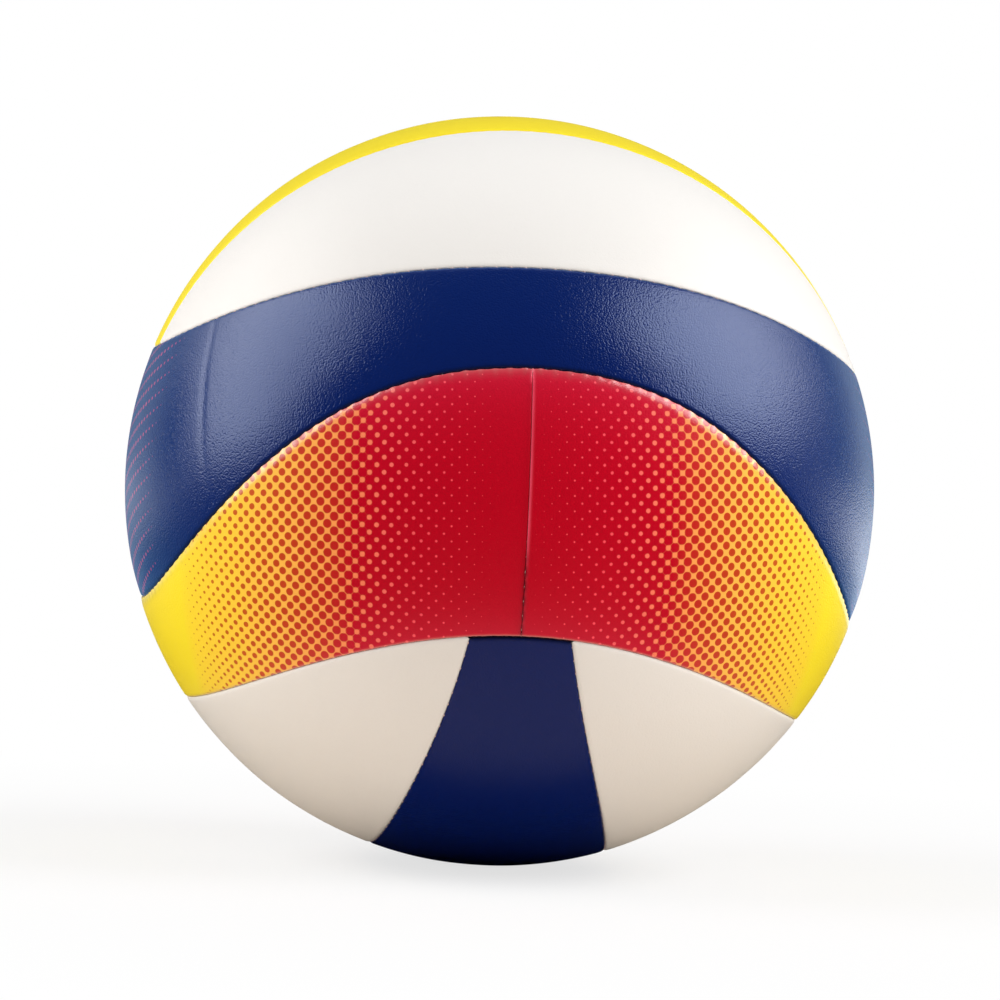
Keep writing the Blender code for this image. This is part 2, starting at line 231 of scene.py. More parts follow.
class Wire:
    """One node output. Arithmetic on wires adds Math nodes to their tree."""

    def __init__(self, socket):
        self.socket = socket
        self.tree = socket.id_data

    def maths(self, operation, *values, clamp=False):
        return node(self.tree, "ShaderNodeMath", dict(enumerate(values)), operation=operation, use_clamp=clamp)

    def clamped(self):
        return self.maths("ADD", self, 0.0, clamp=True)

    def root(self):
        return self.maths("SQRT", self)

    def smooth(self, low, high):
        """0 at low, 1 at high, with eased ends."""
        return node(self.tree, "ShaderNodeMapRange", {"Value": self, "From Min": low, "From Max": high},
                    interpolation_type="SMOOTHSTEP")

    def fading(self, width):
        """1 at zero, dying away over a width."""
        return self.maths("EXPONENT", self / -width)

    def bell(self, width):
        """1 at zero, falling away like a bell on both sides."""
        share = self / width
        return self.maths("EXPONENT", 0 - share * share)

    def swing(self):
        """1 at every whole number and -1 halfway between."""
        return self.maths("COSINE", self * (2 * math.pi))


# The signs + - * / ** between wires and numbers
SIGNS = {"add": "ADD", "sub": "SUBTRACT", "mul": "MULTIPLY", "truediv": "DIVIDE", "pow": "POWER"}
for sign, operation in SIGNS.items():
    setattr(Wire, f"__{sign}__", lambda self, other, kind=operation: self.maths(kind, self, other))
    setattr(Wire, f"__r{sign}__", lambda self, other, kind=operation: self.maths(kind, other, self))


def blend(factor, first, second, mode="MIX"):
    """A colour that goes from first to second with the factor, or takes on second in another mode."""
    return node(factor.tree, "ShaderNodeMix", {0: factor, 6: first, 7: second}, 2, data_type="RGBA", blend_type=mode)


def either(factor, first, second):
    """A shader that goes from first to second with the factor."""
    return node(factor.tree, "ShaderNodeMixShader", {0: factor, 1: first, 2: second})


def ramp(factor, stops):
    """A colour that runs through stops with the factor."""
    made = node(factor.tree, "ShaderNodeValToRGB", {0: factor})
    elements = made.socket.node.color_ramp.elements
    elements.remove(elements[-1])
    for index, (place, colour) in enumerate(stops):
        stop = elements.new(place) if index else elements[0]
        stop.position, stop.color = place, (*colour, 1.0)
    return made


def vector_maths(tree, operation, *values, output=0):
    return node(tree, "ShaderNodeVectorMath", dict(enumerate(values)), output, operation=operation)


def scaled(vector, factor):
    return node(vector.tree, "ShaderNodeVectorMath", {0: vector, "Scale": factor}, operation="SCALE")


def axes(vector):
    """The x, y and z of a vector."""
    apart = node(vector.tree, "ShaderNodeSeparateXYZ", {0: vector})
    return [Wire(socket) for socket in apart.socket.node.outputs]


def ray_kinds(tree):
    """Whether a ray comes from the camera, and whether it is a reflection."""
    seen = node(tree, "ShaderNodeLightPath", output="Is Camera Ray")
    return seen, Wire(seen.socket.node.outputs["Is Glossy Ray"])


# ---- finishes

WHITE = (0.86, 0.845, 0.825)
YELLOW = (0.95, 0.77, 0.022)
BLUE = (0.0010, 0.0105, 0.118)
RED = (0.545, 0.0004, 0.014)
PINK_RED = (0.475, 0.040, 0.142)
PLAIN_WHITE = (1.0, 1.0, 1.0)
# The leather's grain: pebbles, fine pores between them and broad clouds of tone
PEBBLE_SIZE, PORE_SIZE, CLOUD_SIZE = 0.00050, 0.00020, 0.030
GRAIN_DEPTH = 0.00011
# The tone multiplied in for painted shade in the grain's valleys and for random broad clouds of tone
SHADE_AND_CLOUD_TONE = (0.72, 0.70, 0.68)
# Painted shade: a dark line where the groove along one kind of seam lies in shadow
SEAM_SHADE, SEAM_SHADE_WIDTH = (0.002, 0.002, 0.004), 0.0009

# Shine of the covers, with the haze towards the ball's edge
Shine = namedtuple("Shine", "strength tint roughness haze")
PLAIN_SHINE = Shine(0.18, PLAIN_WHITE, 0.38, 0.0)
YELLOW_SHINE = Shine(0.20, PLAIN_WHITE, 0.36, 0.0)
PRINT_SHINE = Shine(0.06, PLAIN_WHITE, 0.30, 0.0)
STRIP_SHINE = Shine(0.60, (0.80, 0.80, 0.74), 0.22, 0.0)
BLUE_SHINE = Shine(0.62, (0.60, 0.72, 1.0), 0.18, 0.62)
HAZE_TINT, HAZE_ROUGHNESS = (0.15, 0.46, 1.0), 0.4

# The dot prints: angle of the rows, spacing along and between them, dot radii by distance from the end seam,
# ground colours by the radius of the dots on it, and the ink, thinner in small dots
Print = namedtuple("Print", "angle pitch row_pitch radii tones ink thin_ink")
LONG_PRINT = Print(math.radians(45), 0.00290, 0.00290, [
    (0.0, 0.00216), (0.004, 0.00208), (0.008, 0.00200), (0.014, 0.00190), (0.020, 0.00182), (0.030, 0.00168),
    (0.040, 0.00152), (0.045, 0.00142), (0.051, 0.00134), (0.058, 0.00126), (0.066, 0.00118), (0.072, 0.00110),
    (0.078, 0.00101), (0.084, 0.00090), (0.090, 0.00078), (0.096, 0.00062), (0.103, 0.00041), (0.109, 0.0)], [
    (0.0, YELLOW), (0.00092, (1.0, 0.63, 0.048)), (0.00117, (1.0, 0.52, 0.075)), (0.00132, (1.0, 0.395, 0.090)),
    (0.00144, (1.0, 0.28, 0.105)), (0.00161, (1.0, 0.165, 0.135)), (0.00176, (1.0, 0.085, 0.12))],
    RED, (0.60, 0.40, 0.004))
SHORT_PRINT = Print(math.radians(19), 0.00253, 0.00463, [
    (0.0, 0.00098), (0.013, 0.00084), (0.024, 0.00062), (0.033, 0.00040), (0.0394, 0.0)],
    [(0.0, BLUE)], PINK_RED, (0.42, 0.040, 0.15))
PRINT_SHIFT = 0.0032              # how far a panel's print sits off its middle
PRINT_TURN = math.radians(-2.2)   # how far its rows are turned from square
DOT_SOFTNESS = 0.00030            # width of a printed dot's edge
RAGGED_DEPTH, RAGGED_SIZE = 0.00012, 0.0006
GAP_GAIN = 1.25                   # the gaps in joined ink are this much wider than the space between round dots
JOINING = (0.425, 0.535)          # radii, in spacings, over which the dots run together
THIN_BELOW, THIN_RATE = 0.665, 1.15

# Painted highlights and shade, and a lighter rim edge, along the long print's seams: colours, the widths over which
# they fade from a seam, and the ranges where they hold
PALE_EDGE_TONE, WAVE_SHEEN_WIDTH, RIM_PALE_WIDTH = (0.97, 0.76, 0.66), 0.0008, 0.0005
LAP_HIGHLIGHT, OPEN_GROOVE, LAP_WIDTH = (1.0, 0.10, 0.18), (0.15, 0.0004, 0.005), 0.00056
UNDER_LAP_SHADE, UNDER_SHADE_WIDTH = (0.20, 0.0002, 0.004), 0.0009
WAVE_EDGE_HIGHLIGHT, WAVE_HIGHLIGHT_WIDTH = (0.30, 0.015, 0.045), 0.008
RIM_LIGHTENING_TONE, RIM_LIGHTENING_WIDTH = (0.30, 0.030, 0.050), 0.007
STRETCHED = (0.0032, 0.0006)      # from the wave seam, where the skin is drawn over its edge and shines
PARTED = (0.0048, 0.0030)         # from the wave seam, where both laps of an end seam show
OPENED = (0.009, 0.020)           # height on the print, over which an end seam opens into a groove
RED_PART = (0.065, 0.035)         # from the end seam, where the dots have run together
STRETCH_SIZE, PATCH_SIZE = 0.009, 0.012
COAT_ROUGHNESS, COAT_IOR = 0.22, 2.2


def new_finish(name):
    finish = bpy.data.materials.new(name)
    finish.use_nodes = True
    tree = finish.node_tree
    tree.nodes.clear()
    place = node(tree, "ShaderNodeTexCoord", output="Object")
    return finish, tree, place


def close_finish(finish, sockets):
    tree = finish.node_tree
    node(tree, "ShaderNodeOutputMaterial", {"Surface": node(tree, "ShaderNodeBsdfPrincipled", sockets)})
    return finish


def noise(tree, place, size, detail=2.0, roughness=0.5):
    return node(tree, "ShaderNodeTexNoise", {
        "Vector": place, "Scale": 1 / size, "Detail": detail, "Roughness": roughness})


def attribute(tree, name, output="Fac"):
    return node(tree, "ShaderNodeAttribute", output=output, attribute_name=name)


def bumped(strength, distance, height):
    return node(height.tree, "ShaderNodeBump", {"Strength": strength, "Distance": distance, "Height": height})


def printed_ground(tree, place, layout):
    """A screen of printed dots on its ground, which shrink with their distance from the panel's end seam."""
    pitch, row_pitch = layout.pitch, layout.row_pitch
    away, along, faded = axes(attribute(tree, "print_place", "Vector"))
    cosine, sine = math.cos(layout.angle), math.sin(layout.angle)
    first = away.maths("PINGPONG", away * cosine + along * sine, pitch / 2)
    second = away.maths("PINGPONG", along * cosine - away * sine, row_pitch / 2)
    ragged = (noise(tree, place, RAGGED_SIZE) - 0.5) * RAGGED_DEPTH
    off_dot = (first * first + second * second).root() + ragged
    first, second = pitch / 2 - first, row_pitch / 2 - second
    off_gap = (first * first + second * second).root() - ragged
    reach, largest = layout.radii[-1][0], layout.radii[0][1]
    size = ramp(faded / reach, [(distance / reach, (radius / largest,) * 3) for distance, radius in layout.radii])
    radius = size * (largest + DOT_SOFTNESS / 2) - DOT_SOFTNESS / 2
    # Where the dots meet, the ink runs together and leaves round gaps
    gap = (math.hypot(pitch, row_pitch) / 2 - radius) * GAP_GAIN
    apart = ((radius - off_dot) / DOT_SOFTNESS).smooth(-0.5, 0.5)
    joined = ((off_gap - gap) / DOT_SOFTNESS).smooth(-0.5, 0.5)
    dots = apart + (joined - apart) * radius.smooth(*(pitch * share for share in JOINING))
    ground = ramp(size, [(step / largest, tone) for step, tone in layout.tones])
    thin = ((THIN_BELOW - size) * THIN_RATE).clamped()
    return blend(dots, ground, blend(thin, layout.ink, layout.thin_ink))


def seam_lit_print(tree, place, colour):
    """A print with painted highlights and shade along its seams, and how far its skin is stretched over the edge at
    the wave.
    """
    wave_gap, rim_gap, over, phase = (
        attribute(tree, name) for name in ("wave_gap", "rim_gap", "lapped", "stitch_phase"))
    to_end = attribute(tree, "end_gap") - over * END_LAP
    height = axes(attribute(tree, "print_place", "Vector"))[1]
    swell = (0.5 + 0.5 * phase.swing()) ** 3
    stretched = (wave_gap.smooth(*STRETCHED) * (0.35 + noise(tree, place, STRETCH_SIZE) * 0.75)
                 * (0.55 + swell * 0.45))
    patchy = 0.55 + noise(tree, place, PATCH_SIZE) * 0.8
    # An end seam shows a painted highlight on the lap on one side above, and painted shade in a groove with stitches
    # where it opens below
    opened, parted, lap = height.smooth(*OPENED), wave_gap.smooth(*PARTED) * 0.8, to_end.bell(LAP_WIDTH)
    # Painted shade on the edge of the panel that lies under the lap
    under_lap_shade = (1 - over) * to_end.fading(UNDER_SHADE_WIDTH) * 0.48
    lap_highlight = (over + (1 - over) * parted) * lap * (1 - opened * 0.75)
    # Painted shade in the groove where the end seam opens
    groove = lap * opened * (0.85 - swell * 0.45)
    # Painted highlight: the print lightens near the wave seam, more where the dots have run together
    wave_highlight = wave_gap.fading(WAVE_HIGHLIGHT_WIDTH) * (0.22 + 0.48 * to_end.smooth(*RED_PART))
    # Painted sheen: a pale band along the rolled edge at the wave seam, brighter on the swells between stitches
    wave_sheen = wave_gap.fading(WAVE_SHEEN_WIDTH) * (0.12 + swell * 0.11)
    colour = blend(under_lap_shade, colour, UNDER_LAP_SHADE)
    colour = blend(wave_highlight, colour, WAVE_EDGE_HIGHLIGHT, "SCREEN")
    colour = blend((lap_highlight * patchy).clamped(), colour, LAP_HIGHLIGHT)
    colour = blend(groove, colour, OPEN_GROOVE)
    # Lighter towards the rim seam, and paler right at it
    colour = blend(rim_gap.fading(RIM_LIGHTENING_WIDTH) * 0.6, colour, RIM_LIGHTENING_TONE, "SCREEN")
    colour = blend(rim_gap.bell(RIM_PALE_WIDTH) * 0.35, colour, PALE_EDGE_TONE)
    return blend((wave_sheen * patchy).clamped(), colour, PALE_EDGE_TONE), stretched


def cover_finish(name, ground, grain, shine=PLAIN_SHINE, seam_lit=False, shaded=None):
    """Grained synthetic leather on a plain or printed ground, with painted shade in the grain's valleys, and painted
    light and shade along its seams where asked.
    """
    finish, tree, place = new_finish(name)
    pebble = node(tree, "ShaderNodeTexVoronoi", {
        "Vector": place, "Scale": 1 / PEBBLE_SIZE, "Smoothness": 0.35}, feature="SMOOTH_F1")
    dome = 1 - pebble * pebble * 1.6
    pores, clouds = noise(tree, place, PORE_SIZE), noise(tree, place, CLOUD_SIZE)
    colour = printed_ground(tree, place, ground) if isinstance(ground, Print) else ground
    gloss = {}
    if seam_lit:
        colour, stretched = seam_lit_print(tree, place, colour)
        gloss = {"Coat Weight": stretched, "Coat Roughness": COAT_ROUGHNESS, "Coat IOR": COAT_IOR}
    if shaded:
        # Painted shade: the colour turns near black along the groove of the chosen seam
        colour = blend(attribute(tree, shaded).bell(SEAM_SHADE_WIDTH) * 0.9, colour, SEAM_SHADE)
    # Painted shade: the valleys between pebbles are darkened a little, along with random broad clouds of tone
    valley = (1 - dome).clamped() * 0.03
    return close_finish(finish, {
        **gloss,
        "Base Color": blend(valley + clouds * 0.05, colour, SHADE_AND_CLOUD_TONE, "MULTIPLY"),
        "Roughness": shine.roughness + (clouds - 0.5) * 0.06 + (pores - 0.5) * 0.08,
        "Specular IOR Level": shine.strength,
        "Specular Tint": shine.tint,
        "Sheen Weight": shine.haze,
        "Sheen Roughness": HAZE_ROUGHNESS,
        "Sheen Tint": HAZE_TINT,
        "Normal": bumped(grain, GRAIN_DEPTH, dome * 0.88 + pores * 0.12),
    })


def thread_finish():
    finish, tree, place = new_finish("bonded_seam_thread")
    twist = noise(tree, place, 0.00022, 3.0)
    tone = blend(twist, (0.74, 0.52, 0.50), (0.95, 0.76, 0.73))
    return close_finish(finish, {
        "Base Color": tone, "Roughness": 0.55 + twist * 0.2, "Normal": bumped(0.5, 0.00005, twist)})


def foam_finish():
    finish, tree, place = new_finish("cloth_backed_foam")
    cell = node(tree, "ShaderNodeTexVoronoi", {"Vector": place, "Scale": 1 / 0.0006})
    fibre = noise(tree, place, 0.0015, 4.0)
    tone = blend(cell * 0.6 + fibre * 0.4, (0.70, 0.69, 0.64), (0.80, 0.79, 0.75))
    return close_finish(finish, {
        "Base Color": tone, "Roughness": 0.82 + fibre * 0.12, "Normal": bumped(0.6, 0.0002, cell)})


def rubber_finish(name, dark, light, roughness):
    """Moulded rubber with a faint dusty bloom."""
    finish, tree, place = new_finish(name)
    dust, grain = noise(tree, place, 0.004, 4.0, 0.6), noise(tree, place, 0.0003)
    tone = blend(dust.smooth(0.45, 0.75), dark, light)
    return close_finish(finish, {
        "Base Color": tone, "Roughness": roughness + dust * 0.15,
        "Normal": bumped(0.35, 0.00005, grain * 0.7 + dust * 0.3)})


FINISHES = {
    "white_cover": cover_finish("white_grained_cover", WHITE, 0.15),
    "yellow_cover": cover_finish("yellow_grained_cover", YELLOW, 0.25, YELLOW_SHINE),
    "blue_cover": cover_finish("blue_grained_cover", BLUE, 0.4, STRIP_SHINE, shaded="rim_gap"),
    "blue_red_cover": cover_finish("blue_cover_red_dots", SHORT_PRINT, 0.48, BLUE_SHINE, shaded="wave_gap"),
    "yellow_red_cover": cover_finish("yellow_cover_red_dots", LONG_PRINT, 0.40, PRINT_SHINE, seam_lit=True),
    "thread": thread_finish(),
    "foam": foam_finish(),
    "bladder_rubber": rubber_finish("bladder_rubber_talc", (0.016, 0.016, 0.018), (0.07, 0.07, 0.07), 0.5),
    "valve_rubber": rubber_finish("valve_seat_rubber", (0.022, 0.022, 0.023), (0.05, 0.05, 0.05), 0.5),
    "plug_rubber": rubber_finish("valve_plug_rubber", (0.50, 0.49, 0.46), (0.62, 0.61, 0.58), 0.45),
}

# ---- node trees that shape the pieces


def shape_tree(name, sizes, counts=()):
    """An empty Geometry Nodes tree with inputs for sizes, counts and a finish, and those inputs as wires."""
    tree = bpy.data.node_groups.new(name, "GeometryNodeTree")
    kinds = {"Geometry": "NodeSocketGeometry", **dict.fromkeys(sizes, "NodeSocketFloat"),
             **dict.fromkeys(counts, "NodeSocketInt"), "Finish": "NodeSocketMaterial"}
    for label, kind in kinds.items():
        tree.interface.new_socket(label, in_out="INPUT", socket_type=kind)
    tree.interface.new_socket("Geometry", in_out="OUTPUT", socket_type="NodeSocketGeometry")
    entry = tree.nodes.new("NodeGroupInput")
    return tree, {socket.name: Wire(socket) for socket in entry.outputs if socket.name}


def close_tree(tree, geometry, finish):
    real = node(tree, "GeometryNodeRealizeInstances", {"Geometry": geometry})
    dressed = node(tree, "GeometryNodeSetMaterial", {"Geometry": real, "Material": finish})
    node(tree, "NodeGroupOutput", {"Geometry": dressed})


def shaped(obj, tree, values):
    """Runs a tree on an object with its inputs set, and leaves the result as the object's plain mesh."""
    modifier = obj.modifiers.new("shape", "NODES")
    modifier.node_group = tree
    for item in tree.interface.items_tree:
        if item.in_out == "INPUT" and item.name in values:
            modifier[item.identifier] = values[item.name]
    return settle(obj)


def settle(obj):
    """Turns what the modifiers make into the object's own mesh and removes them."""
    bpy.context.view_layer.update()
    graph = bpy.context.evaluated_depsgraph_get()
    mesh = bpy.data.meshes.new_from_object(obj.evaluated_get(graph), preserve_all_data_layers=True, depsgraph=graph)
    obj.modifiers.clear()
    obj.data = mesh
    mesh.name = obj.name
    return obj


def crown_tree():
    """Pulls a panel's flat sheet down to its seams, with puckers between stitches and soft unevenness."""
    tree, given = shape_tree("crowned_panel", [*UPPER_EDGE, "Hole drop"])

    def stored(name, kind="FLOAT"):
        return node(tree, "GeometryNodeInputNamedAttribute", {"Name": name}, data_type=kind)

    def near(distance, reach):
        return (1 - distance / reach).clamped()

    def rolled(distance, drop, roll, softness=0.0):
        left = near(distance, roll)
        square = left * left
        return drop * ((1 - softness) * (1 - (1 - square).root()) + softness * square)

    place = node(tree, "GeometryNodeInputPosition")
    gap, wave_gap = stored("seam_gap"), stored("wave_gap")
    pull, leaning = near(gap, PUCKER_REACH), near(wave_gap, WAVE_LEAN_REACH)
    beat = 0.5 - 0.5 * stored("stitch_phase").swing()
    # The stitches hold most of the edge down and leave short swells between them
    pucker = given["Pucker depth"] * pull * pull * (1 - (1 - beat) ** 3)
    lean = given["Wave lean"] * leaning * leaning
    uneven = (noise(tree, place, UNEVEN_SIZE, 1.0) - 0.5) * UNEVENNESS * (gap / WIDEST_ROLL).clamped()
    x, y, _ = axes(place)
    from_hole = (x * x + y * y).root() - VALVE_HOLE
    dip = rolled(from_hole.maths("MAXIMUM", from_hole, 0.0), given["Hole drop"], HOLE_ROLL)
    edge = rolled(wave_gap, given["Wave drop"], given["Wave roll"], given["Wave softness"])
    for kind in ("rim", "end", "strip"):
        edge = edge.maths("MAXIMUM", edge, rolled(stored(kind + "_gap"), *EDGE_TURNS[kind]))
    depth = edge + lean + pucker + uneven + dip + stored("crease")
    down = scaled(vector_maths(tree, "NORMALIZE", place), 0 - depth)
    bulge = given["Scallop"] * near(wave_gap, SCALLOP_REACH) * (1 - beat) * (2 - beat) / 2
    offset = vector_maths(tree, "ADD", down, scaled(stored("wave_way", "FLOAT_VECTOR"), bulge))
    moved = node(tree, "GeometryNodeSetPosition", {"Geometry": given["Geometry"], "Offset": offset})
    close_tree(tree, moved, given["Finish"])
    return tree


def stitch_tree():
    """A running thread under a seam line and an arched stitch across it at every pitch."""
    tree, given = shape_tree("stitched_seam", ["Crown depth", "Root depth", "Running depth", "Slant", "Side shift"],
                             ["Stitches", "Seed"])
    line = node(tree, "GeometryNodeMeshToCurve", {"Mesh": given["Geometry"]})
    outward = vector_maths(tree, "NORMALIZE", node(tree, "GeometryNodeInputPosition"))

    def placed(geometry, offset):
        return node(tree, "GeometryNodeSetPosition", {"Geometry": geometry, "Offset": offset})

    def thread(curve, radius):
        ring = node(tree, "GeometryNodeCurvePrimitiveCircle", {"Resolution": 6, "Radius": radius})
        return node(tree, "GeometryNodeCurveToMesh", {"Curve": curve, "Profile Curve": ring, "Fill Caps": True})

    def vector(x, y, z):
        return node(tree, "ShaderNodeCombineXYZ", {"X": x, "Y": y, "Z": z})

    def between(low, high, seed):
        return node(tree, "FunctionNodeRandomValue", {2: low, 3: high, "Seed": seed}, 1, data_type="FLOAT")

    running = thread(placed(line, scaled(outward, 0 - given["Running depth"])), RUNNING_RADIUS)
    root = 0 - given["Root depth"]
    arch = node(tree, "GeometryNodeCurveQuadraticBezier", {
        "Resolution": 7, "Start": vector(0.0, -STITCH_HALF_SPAN, root),
        "Middle": vector(0.0, 0.0, given["Root depth"] - given["Crown depth"] * 2),
        "End": vector(0.0, STITCH_HALF_SPAN, root)})
    beads = node(tree, "GeometryNodeResampleCurve", {"Curve": line, "Count": given["Stitches"]}, mode="COUNT")
    upright = node(tree, "FunctionNodeAlignRotationToVector", {"Vector": outward}, axis="Z")
    tangent = node(tree, "GeometryNodeInputTangent")
    facing = node(tree, "FunctionNodeAlignRotationToVector", {"Rotation": upright, "Vector": tangent},
                  axis="X", pivot_axis="Z")
    lean = between(given["Slant"] - STITCH_WANDER, given["Slant"] + STITCH_WANDER, given["Seed"])
    turn = node(tree, "FunctionNodeAxisAngleToRotation", {"Axis": (0.0, 0.0, 1.0), "Angle": lean})
    leaning = node(tree, "FunctionNodeRotateRotation", {"Rotation": facing, "Rotate By": turn},
                   rotation_space="LOCAL")
    size = between(SMALLEST_STITCH, LARGEST_STITCH, given["Seed"] + SIZE_SEED_STEP)
    sideways = node(tree, "FunctionNodeRotateVector", {
        "Vector": vector(0.0, given["Side shift"], 0.0), "Rotation": facing})
    planted = node(tree, "GeometryNodeInstanceOnPoints", {
        "Points": placed(beads, sideways), "Instance": thread(arch, STITCH_RADIUS), "Rotation": leaning,
        "Scale": vector(size, size, 1.0)})
    both = node(tree, "GeometryNodeJoinGeometry", {"Geometry": running})
    tree.links.new(planted.socket, both.socket.node.inputs[0])
    smooth = node(tree, "GeometryNodeSetShadeSmooth", {"Geometry": both})
    close_tree(tree, smooth, given["Finish"])
    return tree


CROWN = crown_tree()
STITCHING = stitch_tree()


def add_piece(name, mesh):
    obj = bpy.data.objects.new(name, mesh)
    bpy.context.scene.collection.objects.link(obj)
    return obj


def mesh_from(form, name):
    """A mesh of that name from a bmesh, which is then freed."""
    mesh = bpy.data.meshes.new(name)
    form.to_mesh(mesh)
    form.free()
    return mesh


def smooth_all(mesh):
    mesh.polygons.foreach_set("use_smooth", np.ones(len(mesh.polygons), bool))


# ---- stitched seams


def seam_kind(name):
    return next(kind for kind in EDGE_TURNS if kind in name.split("_"))


def stitch_count(length):
    return max(2, round(length / STITCH_PITCH))


def stitch_rise(name, share):
    """How far the stitches stand above their usual lie: sunk at the lower rim, up where an end seam opens below."""
    if name == "bottom_rim_thread":
        return np.full_like(share, -LOWER_RIM_SINK)
    if seam_kind(name) == "end":
        return np.interp(share, OPENING_SHARES, (0.0, OPENING_RISE))
    return np.zeros_like(share)


def stitched_seam(name, number):
    """The thread of one seam: a bare line through the stitch places, grown into thread by the tree."""
    points, closed = SEAMS[name]
    length = evenly(points, closed, count=8)[2]
    stitches = stitch_count(length)
    lead = length / stitches / 2
    valley = EDGE_TURNS[seam_kind(name)][0]
    crown_depth, slant, shift = STITCH_LIES[seam_kind(name)]
    line = evenly(points, closed, count=stitches * 2 if closed else stitches * 2 - 1, lead=lead)[0]
    line = line * (BALL_RADIUS + stitch_rise(name, np.linspace(0, 1, len(line))))[:, None]
    edges = [(i, i + 1) for i in range(len(line) - 1)] + ([(len(line) - 1, 0)] if closed else [])
    mesh = bpy.data.meshes.new(name)
    mesh.from_pydata([tuple(p) for p in line], edges, [])
    piece = shaped(add_piece("stitched_" + name, mesh), STITCHING, {
        "Stitches": stitches, "Seed": FIRST_SEED + number, "Crown depth": crown_depth,
        "Root depth": valley + STITCH_ROOT, "Running depth": valley + RUNNING_BELOW,
        "Slant": math.radians(slant), "Side shift": shift, "Finish": FINISHES["thread"]})
    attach(piece, "ball")
    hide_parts(name)


# ---- cover panels


def seam_finders():
    """For each kind of seam, a search tree over its points and the stitch phase at each."""
    finders = {}
    for kind in EDGE_TURNS:
        points, phases = [], []
        for name, (line, closed) in SEAMS.items():
            if seam_kind(name) == kind:
                dots, places, length = evenly(line, closed, spacing=SEAM_SPACING)
                points.append(dots * BALL_RADIUS)
                phases.append(places / length * stitch_count(length))
        points, phases = np.vstack(points), np.concatenate(phases)
        finder = KDTree(len(points))
        for index, point in enumerate(points):
            finder.insert(point, index)
        finder.balance()
        finders[kind] = finder, phases
    return finders


FINDERS = seam_finders()


def side_edges(share):
    swing = 2 * share - 1
    longitude = swing * CORNER_LONGITUDE
    return on_globe(longitude, rim_latitude(longitude)), on_strip(swing * CORNER_REACH, -1.0)


def side_tip_share():
    """Where the side panel has narrowed to its tip width, as a share of its length."""
    shares = np.linspace(0.0, 0.1, 20001)
    rim, strip = side_edges(shares)
    widths = lengths(strip - rim) * BALL_RADIUS
    return float(shares[np.argmax(widths > SIDE_TIP_WIDTH)])


TIP_SHARE = side_tip_share()


def strip_template(u, v):
    side = 2 * v - 1
    return on_strip((2 * u - 1) * strip_reach(side), side)


def side_template(u, v):
    rim, strip = side_edges(TIP_SHARE + u * (1 - 2 * TIP_SHARE))
    return unit(rim + (strip - rim) * v[..., None])


def band_template(u, v):
    longitude = (u - 0.5) * math.pi
    low = wave_latitude(longitude)
    return on_globe(longitude, low + v * (rim_latitude(longitude) - low))


def crowded(count):
    """Shares from 0 to 1 that crowd towards both ends, as the panel's surface turns down there."""
    even = np.linspace(0.0, 1.0, count + 1)
    return EVEN_SHARE * even + (1 - EVEN_SHARE) * (1 - np.cos(math.pi * even)) / 2


def crowded_ends(length):
    """Shares along a panel's length: even lines, closer over the last few millimetres."""
    near = np.concatenate([np.linspace(0, CRISP_EDGE, CRISP_LINES)[:-1],
                           np.linspace(CRISP_EDGE, WIDEST_ROLL, ROLL_LINES)[:-1]])
    plain = length - 2 * WIDEST_ROLL
    middle = np.linspace(WIDEST_ROLL, length - WIDEST_ROLL, round(plain / LINE_SPACING) + 1)
    return np.concatenate([near, middle, (length - near)[::-1]]) / length


def inset_lines(template, u, v):
    """Moves the border lines in from the seam by half the gap, and gives every grid point's shares."""
    step = 0.002
    grid_u, grid_v = np.meshgrid(u, v, indexing="ij")

    def inset(edge_u, edge_v, in_u, in_v):
        edge_u, edge_v = np.broadcast_arrays(edge_u, edge_v)
        along_u, along_v = abs(in_v), abs(in_u)
        edge = template(edge_u, edge_v)
        inward = template(edge_u + in_u, edge_v + in_v) - edge
        along = (template(np.clip(edge_u + along_u, 0, 1), np.clip(edge_v + along_v, 0, 1))
                 - template(np.clip(edge_u - along_u, 0, 1), np.clip(edge_v - along_v, 0, 1)))
        along /= lengths(along)[..., None] + 1e-12
        square = lengths(np.cross(inward, along)) * BALL_RADIUS
        return np.clip(SEAM_HALF_GAP * step / np.maximum(square, 1e-9), 0.0, 0.2)

    low = inset(u, 0.0, 0.0, step)
    high = inset(u, 1.0, 0.0, -step)
    left = inset(0.0, v, step, 0.0)
    right = inset(1.0, v, -step, 0.0)
    return (left[None, :] + grid_u * (1 - left - right)[None, :],
            low[:, None] + grid_v * (1 - low - high)[:, None])


def print_places(points):
    """Distance from the nearer end seam and height along it for each band point, measured on the ball."""
    side = np.where(points[:, 0] < 0, -1.0, 1.0)
    middle = float(wave_latitude(math.pi / 2) + rim_latitude(math.pi / 2)) / 2
    centre = np.stack([side * math.cos(middle), np.zeros_like(side), np.full_like(side, math.sin(middle))], -1)
    up = np.stack([-side * math.sin(middle), np.zeros_like(side), np.full_like(side, math.cos(middle))], -1)
    away = np.abs(points[:, 1])
    turned = np.arccos(np.clip((points * centre).sum(1), -1, 1))
    stretch = np.where(turned > 1e-6, turned / np.maximum(np.sin(turned), 1e-9), 1.0) * BALL_RADIUS
    away, along = away * stretch, (points * up).sum(1) * stretch
    cosine, sine = np.cos(side * PRINT_TURN), np.sin(side * PRINT_TURN)
    return np.stack([away * cosine + along * sine, along * cosine - away * sine, away + side * PRINT_SHIFT], -1)


def crease_depth(points, creases):
    """Depth of shallow creases, each from one (longitude, latitude) to another in degrees."""
    depth = np.zeros(len(points))
    for start, end, deep, wide in creases:
        first, last = (on_globe(*np.radians(p)) for p in (start, end))
        along = last - first
        share = np.clip(((points - first) @ along) / (along @ along), 0, 1)
        line = first + share[:, None] * along
        off = lengths(points - unit(line)) * BALL_RADIUS
        depth += deep * np.exp(-(off / wide) ** 2) * np.sin(math.pi * np.clip(share, 0.02, 0.98)) ** 0.5
    return depth


